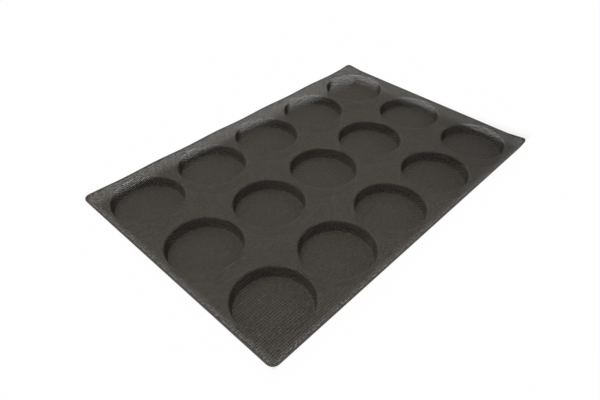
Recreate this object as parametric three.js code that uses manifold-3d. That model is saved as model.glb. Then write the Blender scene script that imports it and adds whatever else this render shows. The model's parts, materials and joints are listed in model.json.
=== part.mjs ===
// Flexible bun mould: one sheet of silicone-coated open glass mesh, pressed into a grid of shallow
// round cups, with its cut edge closed by a bead of solid silicone. Millimetres, +Z up.
//
// The sheet is modelled in the zones between which it gives. It bends along the narrow webs between
// the columns of cups, so each column is a panel of its own, and the flat floor of each cup can be
// pushed up to free the bun, so each floor is a disc inside its cup wall.
//
// The origin is on the table, under the middle of the sheet. X runs along the sheet, and the row of
// cups at -Y is the front one.
import * as THREE from 'three';
import { mergeGeometries, mergeVertices } from 'three/addons/utils/BufferGeometryUtils.js';
import ManifoldModule from 'manifold-3d';

const manifold = await ManifoldModule();
manifold.setup();

// Sizes of the sheet
const sheetThickness = 1;
const sheetCornerRadius = 10;
const endMargin = 10.3; // from the mouth of an end cup to the end of the sheet
const sideMargin = 12.1; // from the mouth of a front or back cup to the long edge
const columnWeb = 7.6; // flat web between two columns, where the sheet bends
const rowWeb = 20.2; // flat web between two rows

// Sizes of a cup
const cupMouthDiameter = 106.8; // where the flat web ends and the rim starts to turn down
const cupDepth = 18; // from the upper face of the web to the upper face of the floor
const rimBend = 2; // radius at the middle of the sheet where the web turns into the wall
const toeBend = 1.2; // radius at the middle of the sheet where the wall turns into the floor
const wallDraft = THREE.MathUtils.degToRad(8); // lean of the wall, so that the bun comes out

// Openings of the weave in the web. The real mesh is far finer: a plain grid of squares stands for it.
const openingsPerColumn = 8;
const openingsPerRow = 9;
const openingSize = 3.8;
const openingRim = 1.2; // least width of web round an opening

// Bead round the cut edge
const sealWidth = 2.5;
const sealThickness = 1.4;

// Clearances
const seatGap = 0.3; // between two zones of one panel, and round a cup floor
const flexGap = 0.4; // at a flex line, so that the edges of two panels clear each other in a bend

// Layout of the cups
const columnCount = 5;
const rowNames = ['front', 'middle', 'back'];

// Facets
const circleSides = 32;
const rimSteps = 2;
const toeSteps = 1;
const cornerSteps = 6;

// Sizes that follow: the sheet comes to 585 by 385 mm, the insert of a 600 by 400 mm bakery tray
const mouthRadius = cupMouthDiameter / 2;
const columnPitch = cupMouthDiameter + columnWeb;
const rowPitch = cupMouthDiameter + rowWeb;
const halfWidth = ((rowNames.length - 1) * rowPitch) / 2 + mouthRadius + sideMargin;
const flexEdge = columnPitch / 2 - flexGap / 2; // from the middle of a column to its edge at a flex line
const endEdge = mouthRadius + endMargin; // from the middle of an end column to the end of the sheet
const webLevel = cupDepth + sheetThickness / 2; // middle of the sheet in the web
const floorLevel = sheetThickness / 2; // middle of the sheet in a cup floor

// The web turns down into the wall by the rim bend, and the wall turns back into the floor by the toe bend
const quarterTurn = Math.PI / 2;
const wallTurn = quarterTurn - wallDraft;
const bendDrop = (rimBend + toeBend) * (1 - Math.cos(wallTurn));
const straightWall = (webLevel - floorLevel - bendDrop) / Math.sin(wallTurn);
const wallReach = (rimBend + toeBend) * Math.sin(wallTurn) + straightWall * Math.cos(wallTurn);
const floorRadius = mouthRadius - wallReach; // where the toe bend ends and the flat floor begins

const coatedMesh = new THREE.MeshStandardMaterial({ color: 0x46423d, roughness: 0.62, metalness: 0 });
const solidSilicone = new THREE.MeshStandardMaterial({ color: 0x2f2c29, roughness: 0.5, metalness: 0 });

function namedMesh(name, geometry, material, y = 0, z = 0) {
  const mesh = new THREE.Mesh(geometry, material);
  mesh.name = name;
  mesh.position.set(0, y, z);
  return mesh;
}

// Points of an arc about (x, y), with both of its ends
function arcPoints(x, y, radius, startAngle, endAngle, steps) {
  const points = [];
  for (let step = 0; step <= steps; step++) {
    const angle = startAngle + ((endAngle - startAngle) * step) / steps;
    points.push(new THREE.Vector2(x + radius * Math.cos(angle), y + radius * Math.sin(angle)));
  }
  return points;
}

// A flat plate of the given outline, with its middle at z = 0
function plate(shape, thickness) {
  const geometry = new THREE.ExtrudeGeometry(shape, { depth: thickness, bevelEnabled: false });
  return geometry.translate(0, 0, -thickness / 2);
}

// A closed geometry as a solid that can be cut
function solidOf(geometry) {
  geometry.deleteAttribute('normal');
  geometry.deleteAttribute('uv');
  const closed = mergeVertices(geometry);
  const mesh = new manifold.Mesh({
    numProp: 3,
    vertProperties: closed.getAttribute('position').array,
    triVerts: Uint32Array.from(closed.getIndex().array),
  });
  return new manifold.Manifold(mesh);
}

// A flat plate with holes through it, with its middle at z = 0
function piercedPlate(outline, holes, thickness) {
  const cutterLength = 2 * thickness; // past both faces of the plate
  const cutters = holes.map((hole) => plate(new THREE.Shape(hole), cutterLength));
  const blank = solidOf(plate(new THREE.Shape(outline), thickness));
  const pierced = blank.subtract(solidOf(mergeGeometries(cutters))).getMesh();
  const geometry = new THREE.BufferGeometry();
  geometry.setAttribute('position', new THREE.BufferAttribute(pierced.vertProperties, pierced.numProp));
  geometry.setIndex(new THREE.BufferAttribute(pierced.triVerts, 1));
  geometry.computeVertexNormals();
  return geometry;
}

// A profile of (radius, height) points, turned about Z
function turned(profile) {
  return new THREE.LatheGeometry(profile, circleSides).rotateX(quarterTurn);
}

// One face of the cup wall, from the mouth down to the floor. The offset is its distance from the
// middle of the sheet, positive on the side that holds the bun.
function wallFace(offset) {
  const rimStart = quarterTurn;
  const toeEnd = -quarterTurn;
  const rimLevel = webLevel - rimBend;
  const toeLevel = floorLevel + toeBend;
  const rim = arcPoints(mouthRadius, rimLevel, rimBend + offset, rimStart, rimStart + wallTurn, rimSteps);
  const toe = arcPoints(floorRadius, toeLevel, toeBend - offset, toeEnd + wallTurn, toeEnd, toeSteps);
  return [...rim, ...toe];
}

// Ring of sheet from the mouth of a cup, over the rim and down the wall, to the edge of its floor
function cupWallGeometry() {
  const inner = wallFace(sheetThickness / 2);
  const outer = wallFace(-sheetThickness / 2);
  const profile = [...inner, ...outer.reverse(), inner[0].clone()];
  return turned(profile);
}

// Flat disc that closes a cup
function cupFloorGeometry() {
  const radius = floorRadius - seatGap;
  const profile = [
    new THREE.Vector2(0, 0),
    new THREE.Vector2(radius, 0),
    new THREE.Vector2(radius, sheetThickness),
    new THREE.Vector2(0, sheetThickness),
  ];
  return turned(profile);
}

function rowY(row) {
  return (row - (rowNames.length - 1) / 2) * rowPitch;
}

// Corners of a rectangle about (x, y), anticlockwise
function rectanglePoints(x, y, width, height) {
  return [
    new THREE.Vector2(x - width / 2, y - height / 2),
    new THREE.Vector2(x + width / 2, y - height / 2),
    new THREE.Vector2(x + width / 2, y + height / 2),
    new THREE.Vector2(x - width / 2, y + height / 2),
  ];
}

// Whether a point lies on a web, inside its outline and clear of its cup mouths. The outline has no hollow
// and runs anticlockwise, so the point is on the left of each of its edges.
function isOnWeb(point, outline) {
  const insideOutline = outline.every((corner, index) => {
    const edge = outline[(index + 1) % outline.length].clone().sub(corner);
    return edge.cross(point.clone().sub(corner)) > 0;
  });
  return insideOutline && rowNames.every((name, row) => {
    return Math.hypot(point.x, point.y - rowY(row)) > mouthRadius + seatGap;
  });
}

// Grid of openings in a web, wherever an opening and its rim lie on the web
function weaveOpenings(outline) {
  const pitchX = columnPitch / openingsPerColumn;
  const pitchY = rowPitch / openingsPerRow;
  const outerRow = Math.floor(halfWidth / pitchY);
  const rimmedSize = openingSize + 2 * openingRim;
  const openings = [];
  for (let column = 0; column < openingsPerColumn; column++) {
    for (let row = -outerRow; row <= outerRow; row++) {
      const x = (column - (openingsPerColumn - 1) / 2) * pitchX;
      const y = row * pitchY;
      const rimCorners = rectanglePoints(x, y, rimmedSize, rimmedSize);
      if (rimCorners.every((corner) => isOnWeb(corner, outline))) {
        openings.push(rectanglePoints(x, y, openingSize, openingSize));
      }
    }
  }
  return openings;
}

// Web of a column between two others: straight at both flex lines
function innerOutline() {
  return rectanglePoints(0, 0, 2 * flexEdge, 2 * (halfWidth - sealWidth - seatGap));
}

// The sheet's +X end, taken in by inset: from the flex line round both corners and back to the flex line
function endOutline(inset) {
  const y = halfWidth - inset;
  const radius = sheetCornerRadius - inset;
  const cornerX = endEdge - sheetCornerRadius;
  const cornerY = halfWidth - sheetCornerRadius;
  return [
    new THREE.Vector2(-flexEdge, -y),
    ...arcPoints(cornerX, -cornerY, radius, -quarterTurn, 0, cornerSteps),
    ...arcPoints(cornerX, cornerY, radius, 0, quarterTurn, cornerSteps),
    new THREE.Vector2(-flexEdge, y),
  ];
}

// Web of a column, with its three cup mouths and the openings of its weave cut out
function webGeometry(isEnd) {
  const outline = isEnd ? endOutline(sealWidth + seatGap) : innerOutline();
  const mouths = rowNames.map((name, row) => {
    const rim = arcPoints(0, rowY(row), mouthRadius + seatGap, 0, 4 * quarterTurn, circleSides);
    return rim.slice(0, -1);
  });
  return piercedPlate(outline, [...mouths, ...weaveOpenings(outline)], sheetThickness);
}

// Bead round the sheet's +X end: out along the edge of the sheet and back along the edge of the web
function endSealGeometry() {
  const outline = [...endOutline(0), ...endOutline(sealWidth).reverse()];
  return plate(new THREE.Shape(outline), sealThickness);
}

// Bead along one long edge of an inner column
function sideSealGeometry() {
  return new THREE.BoxGeometry(2 * flexEdge, sealWidth, sealThickness);
}

// One column: its web, the beads on its outer edges, and its cup walls and floors
function columnPanel(column) {
  const panel = new THREE.Group();
  const number = column + 1;
  const isFirst = column === 0;
  const isEnd = isFirst || column === columnCount - 1;
  panel.position.x = (column - (columnCount - 1) / 2) * columnPitch;

  const web = namedMesh(`web_panel_${number}`, webGeometry(isEnd), coatedMesh, 0, webLevel);
  panel.add(web);
  if (isEnd) {
    const seal = namedMesh(`edge_seal_${number}`, endSealGeometry(), solidSilicone, 0, webLevel);
    const facing = isFirst ? 2 * quarterTurn : 0;
    web.rotation.z = facing;
    seal.rotation.z = facing;
    panel.add(seal);
  } else {
    const sealY = halfWidth - sealWidth / 2;
    panel.add(namedMesh(`edge_seal_${number}_front`, sideSealGeometry(), solidSilicone, -sealY, webLevel));
    panel.add(namedMesh(`edge_seal_${number}_back`, sideSealGeometry(), solidSilicone, sealY, webLevel));
  }

  rowNames.forEach((name, row) => {
    panel.add(namedMesh(`cup_wall_${number}_${name}`, cupWallGeometry(), coatedMesh, rowY(row)));
    panel.add(namedMesh(`cup_floor_${number}_${name}`, cupFloorGeometry(), coatedMesh, rowY(row)));
  });
  return panel;
}

const bunMould = new THREE.Group();
for (let column = 0; column < columnCount; column++) {
  bunMould.add(columnPanel(column));
}

export default bunMould;
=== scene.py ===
import json
import math

import bmesh
import bpy
from mathutils import Matrix, Vector, noise

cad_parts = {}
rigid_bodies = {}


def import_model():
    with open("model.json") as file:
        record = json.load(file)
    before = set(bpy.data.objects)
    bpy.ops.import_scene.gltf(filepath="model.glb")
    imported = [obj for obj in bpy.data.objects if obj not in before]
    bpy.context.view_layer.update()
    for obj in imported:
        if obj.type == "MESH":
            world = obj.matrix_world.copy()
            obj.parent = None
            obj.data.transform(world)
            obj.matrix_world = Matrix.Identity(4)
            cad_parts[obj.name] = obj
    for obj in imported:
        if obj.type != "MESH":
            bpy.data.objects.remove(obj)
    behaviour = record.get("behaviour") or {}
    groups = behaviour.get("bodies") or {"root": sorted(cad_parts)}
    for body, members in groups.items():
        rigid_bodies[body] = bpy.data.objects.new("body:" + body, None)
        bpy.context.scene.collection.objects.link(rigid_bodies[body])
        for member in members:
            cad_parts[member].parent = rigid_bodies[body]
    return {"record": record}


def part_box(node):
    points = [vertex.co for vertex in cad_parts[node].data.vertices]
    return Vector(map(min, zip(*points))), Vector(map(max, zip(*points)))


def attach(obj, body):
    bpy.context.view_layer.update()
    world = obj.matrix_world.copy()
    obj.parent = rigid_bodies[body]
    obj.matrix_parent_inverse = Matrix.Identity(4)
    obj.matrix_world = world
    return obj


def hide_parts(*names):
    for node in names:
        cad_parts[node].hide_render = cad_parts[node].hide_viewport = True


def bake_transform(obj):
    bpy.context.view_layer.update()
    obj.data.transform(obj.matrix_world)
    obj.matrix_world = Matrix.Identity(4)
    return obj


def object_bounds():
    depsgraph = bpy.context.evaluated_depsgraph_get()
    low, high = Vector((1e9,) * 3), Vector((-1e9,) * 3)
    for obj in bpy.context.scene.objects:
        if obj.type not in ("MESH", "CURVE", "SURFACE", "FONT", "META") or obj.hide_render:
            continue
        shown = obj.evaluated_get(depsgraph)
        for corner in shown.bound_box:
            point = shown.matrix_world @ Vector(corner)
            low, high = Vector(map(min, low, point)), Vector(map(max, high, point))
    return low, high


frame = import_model()
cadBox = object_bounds()
mm = 0.001
touch = 0.001 * mm  # points closer than this count as one place

# Places and sizes that the frame gives
columnNumbers = [1, 2, 3, 4, 5]
endColumns = (columnNumbers[0], columnNumbers[-1])
rowNames = ["front", "middle", "back"]
sheetLow, sheetHigh = cadBox
wallLow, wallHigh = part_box("cup_wall_3_middle")
webLow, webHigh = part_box("web_panel_3")
floorLow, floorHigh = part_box("cup_floor_3_middle")
sealLow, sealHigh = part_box("edge_seal_3_back")
webMiddle = (webHigh.z + webLow.z) / 2  # half way through the sheet in the web
floorMiddle = (floorHigh.z + floorLow.z) / 2  # and in a cup floor
mouthRadius = (wallHigh.x - wallLow.x) / 2
sealWidth = sealHigh.y - sealLow.y
sealThickness = sealHigh.z - sealLow.z
flexLines = [joint for joint in frame["record"]["behaviour"]["joints"] if joint["type"] == "hinge"]


def cupCentre(number, row):
    low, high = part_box(f"cup_wall_{number}_{row}")
    return (low + high) / 2


columnPitch = cupCentre(4, "middle").x - cupCentre(3, "middle").x
rowPitch = cupCentre(3, "back").y - cupCentre(3, "middle").y
flexHalf = columnPitch / 2 - mouthRadius  # half of the strip that bends between two columns


# The two panels that a flex line joins, and both sides of the strip that bends between them
def flexStrip(joint):
    left, right = sorted([joint["parent"], joint["child"]])
    middle = joint["pos_m"][0]
    return left, right, middle - flexHalf, middle + flexHalf


# An sRGB hex colour as the linear one that shaders take
def linearColour(hexText):
    channels = [int(hexText[start:start + 2], 16) / 255 for start in (0, 2, 4)]
    linear = [c / 12.92 if c <= 0.04045 else ((c + 0.055) / 1.055) ** 2.4 for c in channels]
    return (*linear, 1)


# Adds a node: settings go on its properties, values on its inputs, and links come from other outputs
def addNode(tree, kind, settings=None, values=None, links=None):
    node = tree.nodes.new(kind)
    for name, setting in (settings or {}).items():
        setattr(node, name, setting)
    for name, value in (values or {}).items():
        node.inputs[name].default_value = value
    for name, output in (links or {}).items():
        tree.links.new(output, node.inputs[name])
    return node


def newMaterial(name):
    material = bpy.data.materials.new(name)
    material.use_nodes = True
    material.node_tree.nodes.clear()
    return material, material.node_tree


siliconeIor = 1.41

# Silicone-coated glass mesh: woven, dipped and cured, so it is a dark rubbery net with fine lines both
# ways. Lines one yarn apart are too fine to show, so every second yarn is drawn paler, more so along the
# sheet than across it: partly the weave's pattern, partly painted light and shade on the yarns' ridges
coatedMeshLook = {
    "pale": "575046",
    "dark": "0a0908",
    "lineEdge": (0.25, 0.75),  # where the tone changes on the way from a dark yarn to a pale one
    "acrossShare": 0.3,  # how much of the paleness lies on the yarns across the sheet
    "streak": (5 * mm, 3 * mm, 4 * mm),  # a short run of yarns with a thinner coat
    "streakDetail": 1.0,
    "streakEdge": (0.38, 0.62),  # the values of its noise between which the tone changes
    "streakShare": 0.3,
    "footHighlight": 2.2,  # painted highlight: how much paler the line round the foot of a cup wall is drawn, where light catches the toe bend
    "paintedShadeReach": 280 * mm,  # painted shade: the coat is drawn darker towards the front corner at +X, where less light falls
    "paintedShadeTone": 0.5,  # the tone of that painted shade at the corner, against the rest
    "grainSize": 1.2 * mm,
    "grainDetail": 2.0,
    "grainDepth": 0.05 * mm,
    "grainStrength": 0.6,
    "roughness": 0.6,
}


def coatedGlassMesh():
    look = coatedMeshLook
    material, tree = newMaterial("siliconeCoatedGlassMesh")
    yarns = addNode(tree, "ShaderNodeUVMap", {"uv_map": "yarns"})
    counts = addNode(tree, "ShaderNodeSeparateXYZ", {}, {}, {"Vector": yarns.outputs["UV"]})
    lineStart, lineEnd = look["lineEdge"]
    yarnLines = []
    for axis in ("Y", "X"):
        # Zero on one yarn and one on the next
        second = addNode(tree, "ShaderNodeMath", {"operation": "PINGPONG"}, {1: 1.0},
                         {0: counts.outputs[axis]})
        line = addNode(tree, "ShaderNodeMapRange", {}, {"From Min": lineStart, "From Max": lineEnd},
                       {"Value": second.outputs[0]})
        yarnLines.append(line.outputs["Result"])
    along, across = yarnLines
    paleness = addNode(tree, "ShaderNodeMix", {"data_type": "FLOAT"}, {0: look["acrossShare"]},
                       {2: along, 3: across})
    place = addNode(tree, "ShaderNodeTexCoord")
    runs = addNode(tree, "ShaderNodeVectorMath", {"operation": "DIVIDE"}, {1: look["streak"]},
                   {0: place.outputs["Object"]})
    streaks = addNode(tree, "ShaderNodeTexNoise", {}, {"Scale": 1.0, "Detail": look["streakDetail"]},
                      {"Vector": runs.outputs["Vector"]})
    streakStart, streakEnd = look["streakEdge"]
    coat = addNode(tree, "ShaderNodeMapRange", {}, {"From Min": streakStart, "From Max": streakEnd},
                   {"Value": streaks.outputs["Fac"]})
    mixed = addNode(tree, "ShaderNodeMix", {"data_type": "FLOAT"}, {0: look["streakShare"]},
                    {2: paleness.outputs[0], 3: coat.outputs["Result"]})
    ramp = addNode(tree, "ShaderNodeValToRGB", {}, {}, {"Fac": mixed.outputs[0]})
    ramp.color_ramp.elements[0].color = linearColour(look["dark"])
    ramp.color_ramp.elements[1].color = linearColour(look["pale"])
    # Painted shade: the coat is drawn darker towards the front corner at +X, where less light falls
    toCorner = addNode(tree, "ShaderNodeVectorMath", {"operation": "DISTANCE"},
                       {1: (sheetHigh.x, sheetLow.y, sheetHigh.z)}, {0: place.outputs["Object"]})
    paintedShade = addNode(tree, "ShaderNodeMapRange", {"interpolation_type": "SMOOTHSTEP"},
                       {"From Max": look["paintedShadeReach"], "To Min": look["paintedShadeTone"]},
                       {"Value": toCorner.outputs["Value"]})
    # Painted highlight: a paler line round the foot of each cup wall, where light catches the toe bend
    foot = addNode(tree, "ShaderNodeAttribute", {"attribute_name": "foot"})
    wearAndHighlight = addNode(tree, "ShaderNodeMapRange", {}, {"To Min": 1.0, "To Max": look["footHighlight"]},
                   {"Value": foot.outputs["Fac"]})
    tone = addNode(tree, "ShaderNodeMath", {"operation": "MULTIPLY"}, {},
                   {0: paintedShade.outputs["Result"], 1: wearAndHighlight.outputs["Result"]})
    colour = addNode(tree, "ShaderNodeVectorMath", {"operation": "SCALE"}, {},
                     {0: ramp.outputs["Color"], "Scale": tone.outputs[0]})
    grain = addNode(tree, "ShaderNodeTexNoise", {},
                    {"Scale": 1 / look["grainSize"], "Detail": look["grainDetail"]},
                    {"Vector": place.outputs["Object"]})
    bump = addNode(tree, "ShaderNodeBump", {},
                   {"Strength": look["grainStrength"], "Distance": look["grainDepth"]},
                   {"Height": grain.outputs["Fac"]})
    shader = addNode(tree, "ShaderNodeBsdfPrincipled", {},
                     {"Roughness": look["roughness"], "IOR": siliconeIor},
                     {"Base Color": colour.outputs["Vector"], "Normal": bump.outputs["Normal"]})
    addNode(tree, "ShaderNodeOutputMaterial", {}, {}, {"Surface": shader.outputs["BSDF"]})
    return material


# Solid silicone bead: pressed on and cured, smooth, darker than the mesh and a little worn in places
edgeBeadLook = {
    "colour": "2c2926",
    "worn": "3a3632",
    "wearSize": 18 * mm,
    "wearDetail": 4.0,
    "roughness": 0.5,
}


def edgeSilicone():
    look = edgeBeadLook
    material, tree = newMaterial("solidEdgeSilicone")
    place = addNode(tree, "ShaderNodeTexCoord")
    wearAndHighlight = addNode(tree, "ShaderNodeTexNoise", {},
                   {"Scale": 1 / look["wearSize"], "Detail": look["wearDetail"]},
                   {"Vector": place.outputs["Object"]})
    ramp = addNode(tree, "ShaderNodeValToRGB", {}, {}, {"Fac": wearAndHighlight.outputs["Fac"]})
    ramp.color_ramp.elements[0].color = linearColour(look["colour"])
    ramp.color_ramp.elements[1].color = linearColour(look["worn"])
    shader = addNode(tree, "ShaderNodeBsdfPrincipled", {},
                     {"Roughness": look["roughness"], "IOR": siliconeIor},
                     {"Base Color": ramp.outputs["Color"]})
    addNode(tree, "ShaderNodeOutputMaterial", {}, {}, {"Surface": shader.outputs["BSDF"]})
    return material


meshMaterial = coatedGlassMesh()
beadMaterial = edgeSilicone()
print("materials made")


def makePiece(name, bm, material):
    mesh = bpy.data.meshes.new(name)
    bm.to_mesh(mesh)
    bm.free()
    mesh.materials.append(material)
    piece = bpy.data.objects.new(name, mesh)
    bpy.context.scene.collection.objects.link(piece)
    return piece


# How the sheet lies: the back margin waves up between the columns, and the two corners at +X curl up
sheetLie = {
    "backWave": 1.2 * mm,
    "frontCurl": 5.5 * mm,
    "backCurl": 3.5 * mm,
    "curlReach": 36 * mm,
    "cornerRadius": 10 * mm,  # of the outline, as in the CAD
    "cornerSteps": 8,
}
backMouths = cupCentre(3, "back").y + mouthRadius  # where the back margin starts


def sheetLift(x, y):
    margin = max(0, y - backMouths) / (sheetHigh.y - backMouths)
    wave = (1 - math.cos(2 * math.pi * x / columnPitch)) / 2
    lift = sheetLie["backWave"] * margin * wave
    for curl, cornerY in ((sheetLie["frontCurl"], sheetLow.y), (sheetLie["backCurl"], sheetHigh.y)):
        reach = 1 - math.hypot(sheetHigh.x - x, cornerY - y) / sheetLie["curlReach"]
        lift += curl * max(0, reach) ** 2
    return lift


# The woven sheet
yarnGrid = {
    "pitch": 1.6 * mm,
    "width": 1.19 * mm,  # of a coated yarn
    "widest": 1.52 * mm,  # so that no hole closes
    "slack": 0.01 * mm,  # how far past the side of a yarn the corner of a hole still belongs to it
    "thickness": 0.85 * mm,
    "uneven": 0.42,  # how much the coat makes a yarn wider or narrower
    "unevenRun": (3.2 * mm, 1.9 * mm),  # along and across the sheet, or round and down a cup wall
}

# A cup as it is pressed: the bends and the lean of the wall are the CAD's
cupPress = {
    "rimBend": 2 * mm,
    "toeBend": 1.2 * mm,
    "wallDraft": math.radians(8),
    "floorStretch": 1.15,  # how far the mesh opens in the floor
    "floorYarn": 1.02,  # width of a yarn in the floor, where the coat gathers, against the web
    "toeYarn": 0.9,  # at the foot of the wall
    "rimYarn": 0.82,  # and at its rim, where the press draws the yarns apart
    "footHighlightWidth": 1.8 * mm,  # how far the painted highlight line at the foot fades on both sides
}

wallTurn = math.pi / 2 - cupPress["wallDraft"]  # how far the sheet turns from the floor into the wall
toeRun = cupPress["toeBend"] * wallTurn
rimRun = cupPress["rimBend"] * wallTurn
bendSum = cupPress["rimBend"] + cupPress["toeBend"]
wallRun = (webMiddle - floorMiddle - bendSum * (1 - math.cos(wallTurn))) / math.sin(wallTurn)
floorRadius = mouthRadius - bendSum * math.sin(wallTurn) - wallRun * math.cos(wallTurn)
cupRun = floorRadius + toeRun + wallRun + rimRun  # over the sheet, from the floor's middle to the mouth
flatFloorRadius = floorRadius / cupPress["floorStretch"]  # of the floor's mesh before pressing


# Radius, height and lean of the sheet at a run from the middle of the floor
def cupSection(run):
    toeBend, rimBend = cupPress["toeBend"], cupPress["rimBend"]
    if run <= floorRadius:
        return run, floorMiddle, 0
    run -= floorRadius
    lean = min(run / toeBend, wallTurn)
    radius = floorRadius + toeBend * math.sin(lean)
    height = floorMiddle + toeBend * (1 - math.cos(lean))
    if run <= toeRun:
        return radius, height, lean
    run -= toeRun
    if run <= wallRun:
        return radius + run * math.cos(wallTurn), height + run * math.sin(wallTurn), wallTurn
    lean = max(wallTurn - (run - wallRun) / rimBend, 0)
    return mouthRadius - rimBend * math.sin(lean), webMiddle - rimBend * (1 - math.cos(lean)), lean


# How far up the wall a point of the flat mesh comes to lie: zero at its foot and one at the mouth
def wallShare(flat):
    return (flat - flatFloorRadius) / (mouthRadius - flatFloorRadius)


# Where the press takes a point that was this far from the middle of the cup on the flat mesh
def pressedRun(flat):
    if flat <= flatFloorRadius:
        return flat * cupPress["floorStretch"]
    return floorRadius + wallShare(flat) * (cupRun - floorRadius)


# A flat grid of yarns between two corners, each yarn a ridge above and below, closed at its border.
# The planes cut off what lies outside a rounded corner of the sheet.
def flatYarns(low, high, planes=()):
    bm = bmesh.new()
    size, middle = high - low, (high + low) / 2
    counts = [round(side / yarnGrid["pitch"]) for side in size.xy]
    cell = Vector((size.x / counts[0], size.y / counts[1]))
    place = Matrix.Translation((middle.x, middle.y, 0)) @ Matrix.Diagonal((size.x, size.y, 1, 1))
    bmesh.ops.create_grid(bm, x_segments=counts[0], y_segments=counts[1], size=0.5, matrix=place)
    for point, outward in planes:
        geometry = bm.verts[:] + bm.edges[:] + bm.faces[:]
        bmesh.ops.bisect_plane(bm, geom=geometry, dist=touch, plane_co=point, plane_no=outward,
                               clear_outer=True)
    bmesh.ops.wireframe(bm, faces=bm.faces[:], thickness=yarnGrid["width"], use_replace=True,
                        use_boundary=False, use_even_offset=True)
    bmesh.ops.scale(bm, vec=(1, 1, yarnGrid["thickness"] / yarnGrid["width"]), verts=bm.verts[:])
    border = [edge for edge in bm.edges if edge.is_boundary]
    bmesh.ops.bridge_loops(bm, edges=border)
    for edge in border:
        edge.smooth = False
    bmesh.ops.recalc_face_normals(bm, faces=bm.faces[:])
    return bm, cell


# Counts the yarns from the low corner, for the material
def mapYarns(bm, low, cell):
    yarnMap = bm.loops.layers.uv.new("yarns")
    for face in bm.faces:
        face.smooth = True
        for loop in face.loops:
            loop[yarnMap].uv = ((loop.vert.co.x - low.x) / cell.x, (loop.vert.co.y - low.y) / cell.y)


# Widens or narrows the yarns, by moving the corners of the holes between them
def openHoles(bm, low, cell, centre=None):
    runX, runY = yarnGrid["unevenRun"]
    for vert in bm.verts:
        if abs(vert.co.z) > touch:  # on a ridge, not at a hole
            continue
        hole = [math.floor((vert.co[axis] - low[axis]) / cell[axis]) + 0.5 for axis in (0, 1)]
        holeX, holeY = [low[axis] + hole[axis] * cell[axis] for axis in (0, 1)]
        along, across = holeX, holeY
        flat = math.hypot(holeX - centre.x, holeY - centre.y) if centre else mouthRadius
        if flatFloorRadius < flat < mouthRadius:
            along = mouthRadius * math.atan2(holeY - centre.y, holeX - centre.x)
            across = flat
        share = 1 + yarnGrid["uneven"] * noise.noise((along / runX, across / runY, 0))
        if flat < flatFloorRadius:
            share *= cupPress["floorYarn"]
        elif flat < mouthRadius:
            share *= cupPress["toeYarn"] + wallShare(flat) * (cupPress["rimYarn"] - cupPress["toeYarn"])
        share = min(share, yarnGrid["widest"] / yarnGrid["width"])
        for axis in (0, 1):
            line = low[axis] + round((vert.co[axis] - low[axis]) / cell[axis]) * cell[axis]
            offset = vert.co[axis] - line
            if abs(offset) < yarnGrid["width"] / 2 + yarnGrid["slack"]:
                vert.co[axis] = line + offset * share


# Marks the foot of the cup wall, where the material paints a highlight line
def markFoot(bm, centre):
    foot = bm.verts.layers.float.new("foot")
    middle = floorRadius + toeRun / 2
    for vert in bm.verts:
        flat = (vert.co - centre).xy.length
        if flat < mouthRadius:
            away = abs(pressedRun(flat) - middle) / cupPress["footHighlightWidth"]
            vert[foot] = max(0, 1 - away)


# Presses the cup into a flat grid of yarns and lifts the web to its height
def pressCup(bm, centre):
    for vert in bm.verts:
        away = (vert.co - centre).xy
        flat, rise = away.length, vert.co.z
        if flat >= mouthRadius:
            vert.co.z = webMiddle + rise + sheetLift(vert.co.x, vert.co.y)
        elif flat < touch:
            vert.co.z = floorMiddle + rise
        else:
            radius, height, lean = cupSection(pressedRun(flat))
            away *= (radius - rise * math.sin(lean)) / flat
            vert.co = (centre.x + away.x, centre.y + away.y, height + rise * math.cos(lean))


# Front and back edge of a row of cells, on the flat web
def rowEdges(row):
    middle = cupCentre(3, row).y
    low = sheetLow.y + sealWidth if row == "front" else middle - rowPitch / 2
    high = sheetHigh.y - sealWidth if row == "back" else middle + rowPitch / 2
    return low, high


# Two opposite corners of the cell round a cup
def cellEdges(number, row):
    centre = cupCentre(number, row)
    lowX = sheetLow.x + sealWidth if number == columnNumbers[0] else centre.x - mouthRadius
    highX = sheetHigh.x - sealWidth if number == columnNumbers[-1] else centre.x + mouthRadius
    lowY, highY = rowEdges(row)
    return Vector((lowX, lowY, 0)), Vector((highX, highY, 0))


# Cutting planes that round off the corner of the sheet that a cell holds
def roundedCorner(number, row):
    if number not in endColumns or row == "middle":
        return []
    side = Vector((-1 if number == columnNumbers[0] else 1, -1 if row == "front" else 1, 0))
    reach = Vector((sheetHigh.x, sheetHigh.y, 0)) - Vector((1, 1, 0)) * sheetLie["cornerRadius"]
    planes = []
    for step in range(sheetLie["cornerSteps"]):
        angle = (step + 0.5) / sheetLie["cornerSteps"] * math.pi / 2
        outward = Vector((side.x * math.cos(angle), side.y * math.sin(angle), 0))
        planes.append((side * reach + outward * (sheetLie["cornerRadius"] - sealWidth), outward))
    return planes


for number in columnNumbers:
    for row in rowNames:
        centre = cupCentre(number, row)
        low, high = cellEdges(number, row)
        bm, cell = flatYarns(low, high, roundedCorner(number, row))
        openHoles(bm, low, cell, centre)
        mapYarns(bm, low, cell)
        markFoot(bm, centre)
        pressCup(bm, centre)
        cup = makePiece(f"mesh_cell_{number}_{row}", bm, meshMaterial)
        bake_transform(cup)
        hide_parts(f"cup_wall_{number}_{row}", f"cup_floor_{number}_{row}", f"web_panel_{number}")
print("mesh cells made")

# The strips of mesh that bend between two columns
for joint in flexLines:
    left, right, lowX, highX = flexStrip(joint)
    for row in rowNames:
        lowY, highY = rowEdges(row)
        low, high = Vector((lowX, lowY, 0)), Vector((highX, highY, 0))
        bm, cell = flatYarns(low, high)
        openHoles(bm, low, cell)
        mapYarns(bm, low, cell)
        for vert in bm.verts:
            vert.co.z += webMiddle + sheetLift(vert.co.x, vert.co.y)
        strip = makePiece(f"mesh_{joint['name']}_{row}", bm, meshMaterial)
        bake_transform(strip)
print("flex strips made")


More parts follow.
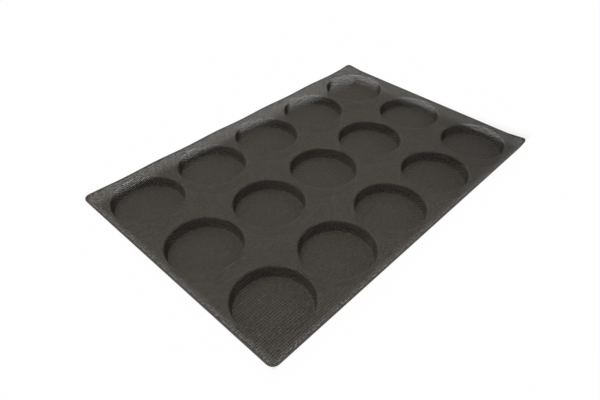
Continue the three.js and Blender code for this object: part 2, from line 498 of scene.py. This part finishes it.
# The bead: one ring round the sheet, cut into the stretch of each panel and the stretches that bend
edgeBead = {
    "cuts": 14,  # in each long side, so that it follows the way the sheet lies
    "sharpAngle": math.radians(60),  # what turns more than this is rounded
    "roundWidth": 0.5 * mm,
    "roundSegments": 3,
}


def beadStretch(lowX, highX):
    bm = bmesh.new()
    size = sheetHigh - sheetLow
    sheetShape = Matrix.Diagonal((size.x, size.y, 1, 1))
    bmesh.ops.create_grid(bm, x_segments=1, y_segments=1, size=0.5, matrix=sheetShape)
    bmesh.ops.bevel(bm, geom=bm.verts[:], offset=sheetLie["cornerRadius"], offset_type="OFFSET",
                    affect="VERTICES", segments=sheetLie["cornerSteps"], profile=0.5, material=-1)
    sheetFace = bm.faces[:]
    bmesh.ops.inset_region(bm, faces=sheetFace, thickness=sealWidth, use_boundary=True,
                           use_even_offset=True)
    bmesh.ops.delete(bm, geom=sheetFace, context="FACES")
    for edgeX, outward in ((lowX, -1), (highX, 1)):
        geometry = bm.verts[:] + bm.edges[:] + bm.faces[:]
        bmesh.ops.bisect_plane(bm, geom=geometry, dist=touch, plane_co=(edgeX, 0, 0),
                               plane_no=(outward, 0, 0), clear_outer=True)
    longEdges = [edge for edge in bm.edges if edge.calc_length() > 2 * sealWidth]
    bmesh.ops.subdivide_edges(bm, edges=longEdges, cuts=edgeBead["cuts"])
    raised = bmesh.ops.extrude_face_region(bm, geom=bm.faces[:])
    lifted = [item for item in raised["geom"] if isinstance(item, bmesh.types.BMVert)]
    bmesh.ops.translate(bm, vec=(0, 0, sealThickness), verts=lifted)
    bmesh.ops.recalc_face_normals(bm, faces=bm.faces[:])
    # The cut ends stay square, so that they meet the next stretch
    sharp = []
    for edge in bm.edges:
        level = abs(edge.verts[0].co.z - edge.verts[1].co.z) < touch
        atCut = any(all(abs(vert.co.x - cutX) < touch for vert in edge.verts) for cutX in (lowX, highX))
        if level and not atCut and edge.is_manifold and edge.calc_face_angle() > edgeBead["sharpAngle"]:
            sharp.append(edge)
    bmesh.ops.bevel(bm, geom=sharp, offset=edgeBead["roundWidth"], offset_type="OFFSET", affect="EDGES",
                    segments=edgeBead["roundSegments"], profile=0.5, material=-1)
    for vert in bm.verts:
        vert.co.z += webMiddle - sealThickness / 2 + sheetLift(vert.co.x, vert.co.y)
    for face in bm.faces:
        face.smooth = True
    return bm


# The outer sides of the two end stretches lie far outside the sheet, so nothing is cut off there
flexXs = sorted(joint["pos_m"][0] for joint in flexLines)
stretchLows = [2 * sheetLow.x] + [x + flexHalf for x in flexXs]
stretchHighs = [x - flexHalf for x in flexXs] + [2 * sheetHigh.x]
for number, lowX, highX in zip(columnNumbers, stretchLows, stretchHighs):
    bead = makePiece(f"edge_bead_{number}", beadStretch(lowX, highX), beadMaterial)
    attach(bead, f"panel_{number}")
    sides = [""] if number in endColumns else ["_front", "_back"]
    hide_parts(*[f"edge_seal_{number}{side}" for side in sides])
for joint in flexLines:
    left, right, lowX, highX = flexStrip(joint)
    bead = makePiece(f"edge_bead_{joint['name']}", beadStretch(lowX, highX), beadMaterial)
    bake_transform(bead)
print("edge bead made")

# Floor and light. The floor keeps the mould's shadow, which reaches out at the back and the +X end, and
# beyond it is white. A fade starts and ends at a distance outwards from the sheet's edge, and what is
# below zero lies under the sheet
studio = {
    "floorSize": 8.0,  # metres
    "floorDrop": 0.2 * mm,  # below the cups
    "floorColour": "f2f2f0",
    "nearFade": (-20.5 * mm, -6 * mm),  # at the front and the -X end
    "backFade": (-22 * mm, 12 * mm),
    "endFade": (-18 * mm, 44 * mm),
    "endSkew": 0.12,  # how the shadow widens towards the front at the +X end
    "backSkew": 0.08,  # and towards -X at the back
    "whiteShare": 0.985,  # of the floor beyond the shadow
    "white": (1, 1, 1, 1),
    "whiteStrength": 1.0,
    "skyStrength": 0.12,
    "sunStrength": 2.22,
    "sunAngle": math.radians(46),
    "sunFrom": (-0.02, 0.18, 1.0),  # nearly overhead
}


# One where a camera, mirrored or refracted ray meets the surface
def seenDirectly(tree):
    ray = addNode(tree, "ShaderNodeLightPath")
    mirrored = addNode(tree, "ShaderNodeMath", {"operation": "MAXIMUM"}, {},
                       {0: ray.outputs["Is Glossy Ray"], 1: ray.outputs["Is Transmission Ray"]})
    return addNode(tree, "ShaderNodeMath", {"operation": "MAXIMUM"}, {},
                   {0: ray.outputs["Is Camera Ray"], 1: mirrored.outputs[0]})


# Pale paper: matt, with no grain that shows
def paleFloor():
    material, tree = newMaterial("palePaper")
    paper = addNode(tree, "ShaderNodeBsdfDiffuse", {}, {"Color": linearColour(studio["floorColour"])})
    white = addNode(tree, "ShaderNodeEmission", {},
                    {"Color": studio["white"], "Strength": studio["whiteStrength"]})
    place = addNode(tree, "ShaderNodeTexCoord")
    # The way out, how far out the sheet's edge lies, and the fade there
    fades = [
        ((-1, 0, 0), -sheetLow.x, "nearFade"),
        ((0, -1, 0), -sheetLow.y, "nearFade"),
        ((1, studio["endSkew"], 0), sheetHigh.x, "endFade"),
        ((studio["backSkew"], 1, 0), sheetHigh.y, "backFade"),
    ]
    sides = []
    for outward, edge, name in fades:
        out = addNode(tree, "ShaderNodeVectorMath", {"operation": "DOT_PRODUCT"}, {1: outward},
                      {0: place.outputs["Object"]})
        starts, ends = [edge + reach for reach in studio[name]]
        side = addNode(tree, "ShaderNodeMapRange", {"interpolation_type": "SMOOTHSTEP"},
                       {"From Min": starts, "From Max": ends, "To Max": studio["whiteShare"]},
                       {"Value": out.outputs["Value"]})
        sides.append(side.outputs["Result"])
    widest = sides[0]
    for side in sides[1:]:
        wider = addNode(tree, "ShaderNodeMath", {"operation": "MAXIMUM"}, {}, {0: widest, 1: side})
        widest = wider.outputs[0]
    share = addNode(tree, "ShaderNodeMath", {"operation": "MULTIPLY"}, {},
                    {0: seenDirectly(tree).outputs[0], 1: widest})
    surface = addNode(tree, "ShaderNodeMixShader", {}, {},
                      {0: share.outputs[0], 1: paper.outputs["BSDF"], 2: white.outputs["Emission"]})
    addNode(tree, "ShaderNodeOutputMaterial", {}, {}, {"Surface": surface.outputs[0]})
    return material


bm = bmesh.new()
bmesh.ops.create_grid(bm, x_segments=1, y_segments=1, size=studio["floorSize"] / 2,
                      matrix=Matrix.Translation((0, 0, -studio["floorDrop"])))
paperFloor = makePiece("paper_floor", bm, paleFloor())

# White round about for the eye and for reflections, and a weaker sky for the light itself
world = bpy.data.worlds.new("softStudio")
bpy.context.scene.world = world
world.use_nodes = True
skyTree = world.node_tree
skyTree.nodes.clear()
strength = addNode(skyTree, "ShaderNodeMapRange", {},
                   {"To Min": studio["skyStrength"], "To Max": studio["whiteStrength"]},
                   {"Value": seenDirectly(skyTree).outputs[0]})
sky = addNode(skyTree, "ShaderNodeBackground", {}, {"Color": studio["white"]},
              {"Strength": strength.outputs["Result"]})
addNode(skyTree, "ShaderNodeOutputWorld", {}, {}, {"Surface": sky.outputs["Background"]})

keyData = bpy.data.lights.new("softOverhead", "SUN")
keyData.energy = studio["sunStrength"]
keyData.angle = studio["sunAngle"]
key = bpy.data.objects.new("softOverhead", keyData)
key.rotation_mode = "QUATERNION"
key.rotation_quaternion = (-Vector(studio["sunFrom"])).to_track_quat("-Z", "Y")
bpy.context.scene.collection.objects.link(key)

# The camera stands before the sheet's near corner, with its place and aim in metres
cameraSetup = {
    "place": (-0.4807, -0.4043, 0.4934),
    "aim": (-0.0741, -0.0362, 0.0190),
    "roll": math.radians(-1.63),
    "focal": 511.7,  # in pixels of the image
    "middle": (307.6, 200.5),  # where the lens axis meets the image
    "image": (600, 400),
    "sensorWidth": 36,  # mm
}
imageWidth, imageHeight = cameraSetup["image"]
middleAcross, middleDown = cameraSetup["middle"]
cameraData = bpy.data.cameras.new("photoCamera")
cameraData.sensor_width = cameraSetup["sensorWidth"]
cameraData.lens = cameraSetup["focal"] / imageWidth * cameraData.sensor_width
cameraData.shift_x = (imageWidth / 2 - middleAcross) / imageWidth
cameraData.shift_y = (middleDown - imageHeight / 2) / imageWidth
camera = bpy.data.objects.new("photoCamera", cameraData)
camera.location = cameraSetup["place"]
aimed = (Vector(cameraSetup["aim"]) - Vector(cameraSetup["place"])).to_track_quat("-Z", "Y")
camera.rotation_mode = "QUATERNION"
camera.rotation_quaternion = aimed @ Matrix.Rotation(-cameraSetup["roll"], 4, "Z").to_quaternion()
bpy.context.scene.collection.objects.link(camera)
bpy.context.scene.camera = camera
bpy.context.scene.view_settings.view_transform = "Standard"
print("stage set")
